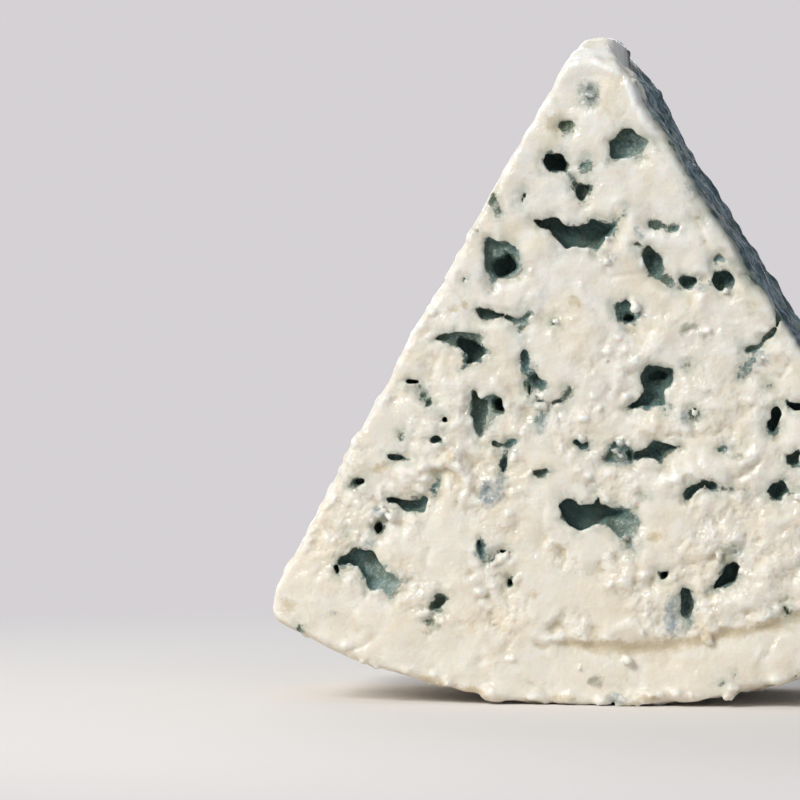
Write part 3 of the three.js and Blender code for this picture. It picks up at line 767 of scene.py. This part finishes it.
def shape_ends(field):
    """The point's cap slopes up from the front face to the middle, and the corners are worn."""
    add_lump(field, (0.1, -2, 92.6), (2.1, 12, 2.1), blend=1.2)
    slope = (Z - CAP_START - CAP_SLOPE * (Y + HALF_THICKNESS)) / math.hypot(1, CAP_SLOPE)
    field[:] = smooth_max(field, slope + 0.25 * SIDE_LUMPS(X, Y, 90.0), 0.7)
    u, _, t = RIGHT.local(X, Y, Z)
    full = smoothstep(0, 8, u) * smoothstep(0, 10, RIGHT.length - u) * smoothstep(5, 1, np.abs(t))
    field -= 0.55 * full * np.exp(-(((Y + HALF_THICKNESS) / 7) ** 2))
    swell(field, (5.5, 16, 88.5), (3, 13, 6), 0.8)
    swell(field, (4.6, -17, 87), (2.4, 3, 3), 0.9)
    swell(field, (-47.8, -17, 14), (3, 8, 2.6), -0.75)
    swell(field, (-37, -16, 6.2), (9, 8, 3), 0.4)
    swell(field, (-27, -18, 51), (3, 6, 5), 0.45)


CRUMBS_PER_CUT, CRUMBS_ON_RIM = 340, 220  # how many are tried


def is_solid(field, x, y, z):
    i, j, k = (min(np.searchsorted(axis, p), len(axis) - 1) for axis, p in zip(GRID, (x, y, z)))
    return field[i, j, k] < -0.6


def add_crumbs(field):
    """Small curds that stand on the faces, most of them where the cut is crumbly."""
    front = -HALF_THICKNESS
    for x, z, radius in FRONT_KNOBS:
        add_lump(field, (x, front + 0.2, z), (radius, radius * 0.8, radius * 0.85), 0.35)
    for x, z, radius in RIM_CURDS:
        add_lump(field, (x, front + 0.5, z), (radius * 1.2, radius, radius * 0.8), 0.6)
    random = np.random.default_rng(5)
    for face in (FRONT, BACK):
        for _ in range(CRUMBS_PER_CUT):
            x, z, size = random.uniform(-47, 49), random.uniform(1, 90), random.uniform(0.3, 0.6)
            wanted = random.uniform()
            if outline_depth(x, z) < -1 and wanted < float(crumble(np.array(x), np.array(z))):
                y = face.origin[1] + math.copysign(random.uniform(0.1, 0.5), -face.origin[1])
                if is_solid(field, x, y * 0.93, z):
                    add_lump(field, (x, y, z), (size * random.uniform(0.8, 1.6), size, size))
    for _ in range(CRUMBS_ON_RIM):
        turn = random.uniform(-0.45, 0.5)
        x, z = WHEEL_RADIUS * math.sin(turn), WHEEL_CENTRE - WHEEL_RADIUS * math.cos(turn)
        size = random.uniform(0.3, 0.9)
        add_lump(field, (x, random.uniform(-19, 19), z + 0.3), (size, size, size * 0.7))


# --------------------------------------------------------------------------------------- the surface

def surface_net(field):
    """One point in each grid cell that the surface crosses, in grid steps, and the quads that join them."""
    inside = field < 0
    count = np.zeros(tuple(n - 1 for n in field.shape), np.int8)
    corners = [(a, b, c) for a in (0, 1) for b in (0, 1) for c in (0, 1)]
    nx, ny, nz = count.shape
    for a, b, c in corners:
        count += inside[a : a + nx, b : b + ny, c : c + nz]
    cells = np.nonzero((count > 0) & (count < 8))
    number = np.full(count.shape, -1, np.int32)
    number[cells] = np.arange(len(cells[0]))
    values = {s: field[cells[0] + s[0], cells[1] + s[1], cells[2] + s[2]] for s in corners}
    total, crossings = np.zeros((len(cells[0]), 3)), np.zeros(len(cells[0]))
    for start in corners:
        for axis in range(3):
            if start[axis]:
                continue
            end = tuple(1 if n == axis else s for n, s in enumerate(start))
            a, b = values[start], values[end]
            crosses = (a < 0) != (b < 0)
            share = a / np.where(crosses, a - b, 1)
            point = np.array(start, float) * np.ones((len(a), 1))
            point[:, axis] = share
            total += point * crosses[:, None]
            crossings += crosses
    points = np.stack(cells, 1) + total / crossings[:, None]
    return points, net_quads(inside, number)


def net_quads(inside, number):
    quads = []
    for axis in range(3):
        b, c = (axis + 1) % 3, (axis + 2) % 3
        middle = [slice(1, -1)] * 3
        first, second = list(middle), list(middle)
        first[axis], second[axis] = slice(0, -1), slice(1, None)
        here, there = inside[tuple(first)], inside[tuple(second)]
        for leaving in (True, False):
            found = list(np.nonzero((here != there) & (here == leaving)))
            found[b], found[c] = found[b] + 1, found[c] + 1
            loop = [(-1, -1), (0, -1), (0, 0), (-1, 0)]
            sides = []
            for db, dc in loop if leaving else loop[::-1]:
                cell = list(found)
                cell[b], cell[c] = cell[b] + db, cell[c] + dc
                sides.append(number[tuple(cell)])
            quads.append(np.stack(sides, 1))
    return np.concatenate(quads)


def largest_part(points, quads):
    """The largest connected piece, without closed bubbles and loose crumbs."""
    label = np.arange(len(points))
    edges = np.concatenate([quads[:, [0, 1]], quads[:, [1, 2]], quads[:, [2, 3]]])
    while True:
        lowest = np.minimum(label[edges[:, 0]], label[edges[:, 1]])
        before = label.copy()
        np.minimum.at(label, label[edges[:, 0]], lowest)
        np.minimum.at(label, label[edges[:, 1]], lowest)
        label = label[label]
        if np.array_equal(before, label):
            break
    kept = label == np.bincount(label).argmax()
    renumber = np.cumsum(kept) - 1
    return points[kept], renumber[quads[kept[quads[:, 0]]]]


def to_places(points):
    return np.stack([np.interp(p, np.arange(len(axis)), axis) for p, axis in zip(points.T, GRID)], 1)


def make_mesh(name, points, quads):
    mesh = bpy.data.meshes.new(name)
    mesh.vertices.add(len(points))
    mesh.vertices.foreach_set("co", (points * MM).astype(np.float32).ravel())
    mesh.loops.add(quads.size)
    mesh.loops.foreach_set("vertex_index", quads.ravel().astype(np.int32))
    mesh.polygons.add(len(quads))
    mesh.polygons.foreach_set("loop_start", np.arange(0, quads.size, 4, dtype=np.int32))
    mesh.update(calc_edges=True)
    return mesh


def thinned(obj, most_triangles):
    """The object's mesh with its flattest stretches drawn by fewer faces."""
    modifier = obj.modifiers.new("thin", "DECIMATE")
    modifier.ratio = min(1, most_triangles / (2 * len(obj.data.polygons)))
    mesh = bpy.data.meshes.new_from_object(obj.evaluated_get(bpy.context.evaluated_depsgraph_get()))
    obj.modifiers.remove(modifier)
    drop_doubled_faces(mesh)
    return mesh


def drop_doubled_faces(mesh):
    """Takes out pairs of faces on the same points, which thinning leaves where a thin web has closed up."""
    work = bmesh.new()
    work.from_mesh(mesh)
    on_points = {}
    for face in work.faces:
        on_points.setdefault(frozenset(face.verts), []).append(face)
    doubled = [face for faces in on_points.values() if len(faces) > 1 for face in faces]
    bmesh.ops.delete(work, geom=doubled, context="FACES")
    work.to_mesh(mesh)
    work.free()


def sample(volume, places):
    """Values of a grid volume at places between its points."""
    spots = [np.interp(p, axis, np.arange(len(axis))) for p, axis in zip(places.T, GRID)]
    base = [np.minimum(s.astype(int), n - 2) for s, n in zip(spots, volume.shape)]
    part = [s - b for s, b in zip(spots, base)]
    total = 0
    for corner in range(8):
        steps = [(corner >> axis) & 1 for axis in range(3)]
        weight = np.prod([p if s else 1 - p for p, s in zip(part, steps)], axis=0)
        total = total + weight * volume[tuple(b + s for b, s in zip(base, steps))]
    return total


def box_blur(volume, axis, reach):
    """Mean over `reach` grid points to each side along one axis."""
    padded = np.pad(volume, [(reach + 1, reach) if n == axis else (0, 0) for n in range(3)], mode="edge")
    sums = np.cumsum(padded, axis=axis, dtype=np.float64)
    width = 2 * reach + 1
    upper = np.take(sums, np.arange(width, sums.shape[axis]), axis)
    lower = np.take(sums, np.arange(0, sums.shape[axis] - width), axis)
    return ((upper - lower) / width).astype(np.float32)


def standing_out(field, places, reach):
    """How far the surface stands out from its surroundings, in millimetres: negative in a valley."""
    clipped = np.clip(field, -2, 2)
    blurred = box_blur(box_blur(clipped, 0, reach), 2, reach)
    return sample(blurred - clipped, places)


# ---------------------------------------------------------------------------------- where colours lie

def mark_features(places, relief):
    """How far each point lies inside mould, how deep, pale and olive that mould is, and its stains; pale
    also holds painted side shade.
    """
    count = len(places)
    marks = {n: np.full(count, -3.0) for n in ("mould", "blue", "stain_olive", "tan")}
    marks.update({n: np.zeros(count) for n in ("pale", "olive", "deep")})
    for face, hollows, stains in FEATURES:
        for hollow in hollows:
            away = places - face.place(*hollow.centre)
            near = np.flatnonzero((away**2).sum(1) < (hollow.reach + hollow.depth + 2) ** 2)
            u, v, t = face.local(*places[near].T)
            below = t + (relief[near] if face is FRONT else 0)
            inside = np.minimum(below - min(0.45, 0.35 * hollow.depth), 0.5 - hollow.distance(u, v, t))
            better = inside > marks["mould"][near]
            chosen = near[better]
            marks["mould"][chosen] = inside[better]
            # Painted shade and light: pale is lowered on each cavity's upper left, most on the walls there,
            # and raised on its lower right, as the key light falls.
            side = hollow.side(u, v)
            shaded_wall = smoothstep(-0.8, 0, hollow.outline(u, v)) * np.clip(side + 0.6, 0, 1)
            marks["pale"][chosen] = (hollow.pale - 0.35 * side - 0.6 * shaded_wall)[better]
            marks["olive"][chosen] = hollow.olive
            marks["deep"][chosen] = np.clip(below[better], 0, 6)
        for stain in stains:
            away = places - face.place(*stain.centre)
            near = np.flatnonzero((away**2).sum(1) < (max(stain.size) / 2 + 3) ** 2)
            u, v, t = face.local(*places[near].T)
            off = oval_distance(u - stain.centre[0], v - stain.centre[1], stain.size, stain.tilt)
            strength = np.clip(-off, -1.5, 0.8) + 0.6 * (stain.strength - 1)
            key = {"olive": "stain_olive"}.get(stain.kind, stain.kind)
            marks[key][near] = np.maximum(marks[key][near], np.where(t < 2.5, strength, -3))
    return marks


def painted_ledge_shadow(places):
    """How far a point lies inside the painted shadow, a tan line, under the front's ledge."""
    x, y, z = places.T
    from_rim = ledge_depth(x, z)
    along = smoothstep(-12, -2, x) * smoothstep(44, 34, x) * smoothstep(2, 1, y + HALF_THICKNESS)
    return (0.9 - np.abs(from_rim - 8.7)) * along - 1.2 * (1 - along)


def mould_skin_and_edge_shade(places):
    """How far a point lies inside the blue-grey skin that has grown over the right-hand cut; just outside
    it, the front's rounded edge takes painted shade.
    """
    u, v, t = RIGHT.local(*places.T)
    ragged = 2 * SHORT_WAVE(*places.T) + SIDE_LUMPS(*places.T)
    ends = 0.4 * np.minimum(u + 2 + 0.5 * ragged, RIGHT.length + ragged - u)
    # Near the point the skin starts further back and its front border is drawn out, which widens the
    # painted shade over the cap's right side.
    tip = smoothstep(11, 3, u)
    front = (v + HALF_THICKNESS - 0.5 - 17 * tip) / (1 + 6 * tip)
    back = HALF_THICKNESS - 0.6 - v + 0.5 * ragged
    return np.minimum.reduce([1.2 - t - 1.2 * smoothstep(4, 0, u), front, back, ends])


def rind(places):
    """How far a point lies inside the rim's rind."""
    return np.hypot(places[:, 0], places[:, 2] - WHEEL_CENTRE) - (WHEEL_RADIUS - 0.9)


def build_wedge():
    field = base_field()
    shape_ends(field)
    add_relief(field)
    for face, hollows, _ in FEATURES:
        for hollow in hollows:
            carve(field, face, hollow)
    add_crumbs(field)
    field = np.maximum(field, -Z).astype(np.float32)
    points, quads = largest_part(*surface_net(field))
    mesh = make_mesh("blue_cheese_wedge", to_places(points), quads)
    obj = bpy.data.objects.new("blue_cheese_wedge", mesh)
    bpy.context.scene.collection.objects.link(obj)
    obj.data = thinned(obj, MOST_TRIANGLES)
    obj.data.polygons.foreach_set("use_smooth", np.ones(len(obj.data.polygons), bool))
    colour_marks(obj.data, field)
    return obj


def colour_marks(mesh, field):
    flat = np.empty(len(mesh.vertices) * 3, np.float32)
    mesh.vertices.foreach_get("co", flat)
    places = flat.reshape(-1, 3).astype(float) / MM
    x, z = places[:, 0], places[:, 2]
    plane = (XS[:, None], ZS[None, :])
    lift = waves(plane[0], -HALF_THICKNESS, plane[1]) + front_relief(*plane)
    marks = mark_features(places, sample(np.repeat(lift[:, None, :], len(YS), 1), places))
    marks["stands_out"] = standing_out(field, places, 3)
    marks["stands_out_wide"] = standing_out(field, places, 9)
    # The tan mark also takes the painted shadow line under the ledge.
    marks["tan"] = np.maximum(marks["tan"], painted_ledge_shadow(places))
    # The skin mark also places the painted shade at the skin's front border.
    marks["skin"] = mould_skin_and_edge_shade(places)
    marks["rind"] = rind(places)
    marks["crumbly"] = crumble(x, z)
    for name, values in marks.items():
        attribute = mesh.attributes.new(name, "FLOAT", "POINT")
        attribute.data.foreach_set("value", np.asarray(values, np.float32))


# ------------------------------------------------------------------------------------------ materials

class Nodes:
    """A material's nodes, added from code a step at a time."""

    def __init__(self, name):
        self.material = bpy.data.materials.new(name)
        self.material.use_nodes = True
        self.tree = self.material.node_tree
        self.tree.nodes.clear()
        self.place = self.new("ShaderNodeTexCoord").outputs["Object"]

    def new(self, kind, **settings):
        node = self.tree.nodes.new(kind)
        for name, value in settings.items():
            setattr(node, name, value)
        return node

    def put(self, socket, value):
        if isinstance(value, bpy.types.NodeSocket):
            self.tree.links.new(value, socket)
        elif isinstance(value, tuple) and len(value) == 3 and socket.type == "RGBA":
            socket.default_value = (*value, 1)
        else:
            socket.default_value = value

    def math(self, operation, a, b=0.0):
        node = self.new("ShaderNodeMath", operation=operation)
        self.put(node.inputs[0], a)
        self.put(node.inputs[1], b)
        return node.outputs[0]

    def times(self, a, b):
        return self.math("MULTIPLY", a, b)

    def plus(self, a, b):
        return self.math("ADD", a, b)

    def minus(self, a, b):
        return self.math("SUBTRACT", a, b)

    def step(self, low, high, value):
        """0 where value is below low, 1 above high, and smooth between."""
        node = self.new("ShaderNodeMapRange", interpolation_type="SMOOTHSTEP")
        for socket, v in zip(node.inputs, (value, low, high, 0.0, 1.0)):
            self.put(socket, v)
        return node.outputs[0]

    def mix(self, share, a, b):
        node = self.new("ShaderNodeMix", data_type="RGBA")
        for name, v in (("Factor_Float", share), ("A_Color", a), ("B_Color", b)):
            self.put(next(s for s in node.inputs if s.identifier == name), v)
        return next(s for s in node.outputs if s.identifier == "Result_Color")

    def mark(self, name):
        return self.new("ShaderNodeAttribute", attribute_name=name).outputs["Fac"]

    def stretched(self, direction, share):
        """Places with distances along a direction cut to a share, which draws patterns out along it."""
        run = self.new("ShaderNodeVectorMath", operation="DOT_PRODUCT")
        taken = self.new("ShaderNodeVectorMath", operation="SCALE")
        left = self.new("ShaderNodeVectorMath", operation="SUBTRACT")
        self.put(run.inputs[0], self.place)
        self.put(run.inputs[1], tuple(direction))
        self.put(taken.inputs[0], tuple((1 - share) * d for d in direction))
        self.put(taken.inputs["Scale"], run.outputs["Value"])
        self.put(left.inputs[0], self.place)
        self.put(left.inputs[1], taken.outputs[0])
        return left.outputs[0]

    def noise(self, size_mm, detail=2.0, rough=0.5, place=None):
        """Noise from 0 to 1 whose blotches are about size_mm across."""
        node = self.new("ShaderNodeTexNoise")
        self.put(node.inputs["Vector"], place or self.place)
        node.inputs["Scale"].default_value = 1 / (size_mm * MM)
        node.inputs["Detail"].default_value = detail
        node.inputs["Roughness"].default_value = rough
        return node.outputs["Fac"]

    def swing(self, *settings):
        """The same noise, from -0.5 to 0.5."""
        return self.minus(self.noise(*settings), 0.5)

    def grains(self, size_mm):
        node = self.new("ShaderNodeTexVoronoi", feature="SMOOTH_F1")
        self.put(node.inputs["Vector"], self.place)
        node.inputs["Scale"].default_value = 1 / (size_mm * MM)
        return node.outputs["Distance"]

    def finish(self, shader):
        output = self.new("ShaderNodeOutputMaterial")
        self.put(output.inputs["Surface"], shader.outputs[0])
        return self.material


# Linear colours.
CREAM = (0.785, 0.745, 0.66)
IVORY = (0.77, 0.69, 0.55)
WHITE = (0.88, 0.865, 0.82)
TAN = (0.57, 0.475, 0.30)
BLUE_GREY = (0.29, 0.34, 0.345)
HALO = (0.48, 0.50, 0.41)
MOULD_DARK = (0.054, 0.104, 0.088)
MOULD_TEAL = (0.088, 0.176, 0.154)
MOULD_PALE = (0.255, 0.355, 0.32)
MOULD_OLIVE = (0.16, 0.17, 0.078)
# A paler teal for deep pits: painted light, standing in for light that reaches their floors.
PAINTED_PIT_LIGHT = (0.20, 0.31, 0.265)
# Pale specks: mould dust, and painted glints.
DUST_AND_GLINT = (0.54, 0.59, 0.57)
# Painted shade on the front's rounded right edge.
PAINTED_EDGE_SHADE = (0.16, 0.18, 0.12)
# The skin's border: its dark margin, and painted shadow along the rounded front edge.
SKIN_MARGIN_AND_SHADOW = (0.022, 0.040, 0.034)
SKIN_DARK = (0.028, 0.056, 0.058)
SKIN_PALE = (0.18, 0.275, 0.29)
RIND = (0.62, 0.53, 0.40)


def paste_colour(n):
    colour = n.mix(n.step(0.40, 0.68, n.noise(9, 3, 0.55)), CREAM, IVORY)
    colour = n.mix(n.times(n.step(0.45, 0.7, n.noise(3.2, 3)), 0.5), colour, WHITE)
    # Painted light: places that stand out from their surroundings are made whiter.
    colour = n.mix(n.step(0.04, 0.30, n.mark("stands_out")), colour, WHITE)
    # Painted shade: small valleys and creases are darkened towards tan.
    valley_shade = n.step(0.02, 0.34, n.times(n.mark("stands_out"), -1.0))
    colour = n.mix(n.times(valley_shade, 0.7), colour, TAN)
    # Painted shade: broad hollows of the face are darkened towards tan too.
    wide_valley_shade = n.step(0.1, 0.9, n.times(n.mark("stands_out_wide"), -1.0))
    colour = n.mix(n.times(wide_valley_shade, 0.5), colour, TAN)
    height = n.new("ShaderNodeSeparateXYZ")
    n.put(height.inputs[0], n.place)
    low = n.step(0.09, 0.02, height.outputs["Z"])
    return n.mix(n.times(low, 0.3), colour, IVORY)


def stains_and_ledge_shadow(n, colour):
    rough = n.swing(1.4, 3, 0.6)
    fine = n.swing(0.5, 2, 0.6)
    ragged = n.plus(n.times(rough, 2.4), n.times(fine, 1.2))
    # The tan mark holds tan stains and also the painted shadow line under the ledge.
    for mark, most, stain in (("tan", 0.75, TAN), ("stain_olive", 0.62, MOULD_OLIVE)):
        share = n.step(-0.5, 0.7, n.plus(n.mark(mark), ragged))
        colour = n.mix(n.times(share, most), colour, stain)
    blue = n.step(-0.5, 0.8, n.plus(n.mark("blue"), ragged))
    flecks = n.plus(0.5, n.times(n.step(0.36, 0.6, n.noise(0.8, 3, 0.6)), 0.45))
    return n.mix(n.times(blue, flecks), colour, BLUE_GREY)


def mould_colour(n):
    speckle = n.noise(0.5, 3, 0.75)
    cloud = n.noise(1.6, 2)
    # The pale mark brings painted shade on each cavity's upper left and painted light on its lower right;
    # shallow mould is made paler too.
    bloom_and_side_shade = n.plus(n.mark("pale"), n.times(n.minus(cloud, 0.5), 1.1))
    shallow = n.minus(1.0, n.step(0.4, 1.6, n.mark("deep")))
    bloom_and_side_shade = n.plus(bloom_and_side_shade, n.times(shallow, 0.3))
    colour = n.mix(n.step(0.05, 0.5, bloom_and_side_shade), MOULD_DARK, MOULD_TEAL)
    colour = n.mix(n.step(0.4, 1.0, bloom_and_side_shade), colour, MOULD_PALE)
    colour = n.mix(n.step(0.95, 1.6, bloom_and_side_shade), colour, HALO)
    green = n.times(n.step(0.45, 0.65, n.noise(2.4, 2)), 0.4)
    colour = n.mix(n.math("MAXIMUM", green, n.times(n.mark("olive"), 0.8)), colour, MOULD_OLIVE)
    # Pale specks, partly mould dust and partly painted glints, thickest on each cavity's paler lower right.
    dust_and_glint_share = n.plus(0.2, n.times(n.step(0.3, 1.0, bloom_and_side_shade), 0.7))
    colour = n.mix(n.times(n.step(0.5, 0.66, speckle), dust_and_glint_share), colour, DUST_AND_GLINT)
    # Painted light: deep pits are lightened towards a pale teal.
    return n.mix(n.times(n.step(3.0, 5.0, n.mark("deep")), 0.8), colour, PAINTED_PIT_LIGHT)


def skin_colour(n, skin):
    streaks = n.noise(2.6, 5, 0.75, n.stretched(RIGHT.axes[0], 0.16))
    felt = n.noise(0.5, 3, 0.7)
    cloud = n.noise(7, 4, 0.6)
    share = n.plus(streaks, n.times(n.minus(felt, 0.5), 0.6))
    share = n.plus(share, n.times(n.minus(cloud, 0.5), 0.7))
    colour = n.mix(n.step(0.42, 0.70, share), SKIN_DARK, SKIN_PALE)
    colour = n.mix(n.times(n.step(0.5, 0.68, n.noise(3.5, 4, 0.65)), 0.25), colour, MOULD_OLIVE)
    # The palest streaks on the skin: mould dust and painted glints.
    colour = n.mix(n.times(n.step(0.66, 0.9, share), 0.7), colour, DUST_AND_GLINT)
    # Near black at the skin's border: partly the skin's dark margin, partly painted shadow along the
    # rounded front edge.
    return n.mix(n.step(0.2, 0.9, skin), SKIN_MARGIN_AND_SHADOW, colour)


def cheese_material():
    n = Nodes("blue_cheese")
    colour = stains_and_ledge_shadow(n, paste_colour(n))
    rim = n.times(n.step(-0.3, 0.8, n.mark("rind")), n.step(0.3, 0.7, n.noise(4, 3)))
    colour = n.mix(n.times(rim, 0.8), colour, RIND)
    fine = n.swing(0.7, 3, 0.6)
    patch = n.swing(2.2, 2)
    edge = n.plus(n.mark("mould"), n.times(fine, 0.9))
    edge = n.plus(edge, n.times(patch, 0.8))
    skin = n.plus(n.mark("skin"), n.times(fine, 1.2))
    skin = n.plus(skin, n.times(n.minus(n.noise(5, 3), 0.55), 1.6))
    bare = n.times(n.step(0.52, 0.66, n.noise(12, 4, 0.6)), n.step(0.4, 0.55, n.noise(2, 3, 0.7)))
    skin = n.minus(skin, n.times(bare, 1.6))
    # Painted shade: the front's rounded right edge and the point's right side darken towards the skin.
    shade = n.times(n.step(-1.1, 0.3, n.mark("skin")), 0.8)
    colour = n.mix(shade, colour, PAINTED_EDGE_SHADE)
    colour = n.mix(n.step(-0.1, 0.5, skin), colour, skin_colour(n, skin))
    halo = n.times(n.step(-1.3, 0.0, edge), n.step(0.3, 0.6, n.noise(1.7, 2)))
    colour = n.mix(n.times(halo, 0.6), colour, HALO)
    in_mould = n.step(-0.12, 0.2, edge)
    colour = n.mix(in_mould, colour, mould_colour(n))

    shader = n.new("ShaderNodeBsdfPrincipled")
    n.put(shader.inputs["Base Color"], colour)
    wet = n.times(n.step(0.42, 0.62, n.noise(2.6, 3)), n.minus(1.0, in_mould))
    n.put(shader.inputs["Roughness"], n.plus(n.times(wet, -0.25), 0.70))
    glints = n.times(in_mould, 0.45)
    n.put(shader.inputs["Coat Weight"], n.plus(n.times(wet, 0.8), glints))
    shader.inputs["Specular IOR Level"].default_value = 0.4
    shader.subsurface_method = "RANDOM_WALK"
    shader.inputs["Subsurface Weight"].default_value = 0.45
    shader.inputs["Subsurface Radius"].default_value = (1.0, 0.65, 0.4)
    shader.inputs["Subsurface Scale"].default_value = 0.0016
    shader.inputs["Coat Roughness"].default_value = 0.12

    here = n.times(n.mark("crumbly"), n.step(0.35, 0.6, n.noise(1.7, 2)))
    curds = n.times(n.grains(0.7), n.times(here, -0.5))
    relief = n.plus(n.times(n.noise(1.0, 3, 0.6), 0.36), curds)
    fuzz = n.times(n.times(n.noise(0.5, 3, 0.7), 1.2), in_mould)
    relief = n.plus(relief, fuzz)
    bump = n.new("ShaderNodeBump")
    bump.inputs["Strength"].default_value = 0.8
    bump.inputs["Distance"].default_value = 0.6 * MM
    n.put(bump.inputs["Height"], n.plus(relief, n.times(n.noise(0.35, 2, 0.6), 0.08)))
    n.put(shader.inputs["Normal"], bump.outputs[0])
    n.put(shader.inputs["Coat Normal"], bump.outputs[0])
    return n.finish(shader)


# -------------------------------------------------------------------------------------------- staging

FLOOR_COLOUR = (0.80, 0.76, 0.72)
WALL_COLOUR = (0.665, 0.64, 0.665)
FLOOR_SOLID, FLOOR_FADED = 0.10, 0.24  # metres from the middle, where the floor starts and ends its fade


def floor():
    """A pale round floor that fades into the backdrop's colour."""
    bpy.ops.mesh.primitive_circle_add(vertices=96, radius=FLOOR_FADED, fill_type="NGON")
    obj = bpy.context.object
    obj.name = "floor"
    n = Nodes("floor")
    distance = n.new("ShaderNodeVectorMath", operation="LENGTH")
    n.put(distance.inputs[0], n.place)
    plain = n.new("ShaderNodeBsdfDiffuse")
    n.put(plain.inputs["Color"], FLOOR_COLOUR)
    clear = n.new("ShaderNodeBsdfTransparent")
    both = n.new("ShaderNodeMixShader")
    n.put(both.inputs[0], n.step(FLOOR_SOLID, FLOOR_FADED, distance.outputs["Value"]))
    n.put(both.inputs[1], plain.outputs[0])
    n.put(both.inputs[2], clear.outputs[0])
    obj.data.materials.append(n.finish(both))


def backdrop():
    """A pale room: bright to look at, and dimmer as light, so that the key light shapes the cheese."""
    world = bpy.data.worlds.new("room")
    bpy.context.scene.world = world
    world.use_nodes = True
    nodes, links = world.node_tree.nodes, world.node_tree.links
    nodes.clear()
    seen = nodes.new("ShaderNodeBackground")
    light = nodes.new("ShaderNodeBackground")
    both = nodes.new("ShaderNodeMixShader")
    seen.inputs["Color"].default_value = (*WALL_COLOUR, 1)
    light.inputs["Color"].default_value = (0.75, 0.82, 0.95, 1)
    light.inputs["Strength"].default_value = 0.42
    links.new(nodes.new("ShaderNodeLightPath").outputs["Is Camera Ray"], both.inputs[0])
    links.new(light.outputs[0], both.inputs[1])
    links.new(seen.outputs[0], both.inputs[2])
    links.new(both.outputs[0], nodes.new("ShaderNodeOutputWorld").inputs["Surface"])


def area_light(name, towards, distance, size, power, colour=(1, 1, 1)):
    """A square light that shines on the wedge's middle from the direction `towards`."""
    middle = Vector((0, 0, 0.045))
    data = bpy.data.lights.new(name, "AREA")
    data.size, data.energy, data.color = size, power, colour
    obj = bpy.data.objects.new(name, data)
    direction = Vector(towards).normalized()
    obj.location = middle + direction * distance
    obj.rotation_mode = "QUATERNION"
    obj.rotation_quaternion = direction.to_track_quat("Z", "Y")
    bpy.context.scene.collection.objects.link(obj)


def camera():
    data = bpy.data.cameras.new("camera")
    data.sensor_width, data.lens = 36, 193.2
    data.clip_start, data.clip_end = 0.01, 10
    obj = bpy.data.objects.new("camera", data)
    obj.location = (0.071, -0.619, 0.050)
    aim = Vector((-0.0284, -0.019, 0.043))
    obj.rotation_mode = "QUATERNION"
    obj.rotation_quaternion = (aim - obj.location).to_track_quat("-Z", "Y")
    bpy.context.scene.collection.objects.link(obj)
    bpy.context.scene.camera = obj


camera()
backdrop()
floor()
area_light("key", (-0.55, -0.62, 0.56), 0.9, 0.42, 6.8, (1.0, 0.985, 0.94))
area_light("rear", (-0.35, 0.9, 0.4), 1.0, 0.8, 4.0, (0.95, 0.97, 1.0))
area_light("fill", (0.5, -0.8, 0.25), 1.0, 0.8, 0.9, (0.85, 0.92, 1.0))

wedge = build_wedge()
wedge.data.materials.append(cheese_material())
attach(wedge, "root")
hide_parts(NODE)

bpy.context.scene.view_settings.view_transform = "Standard"
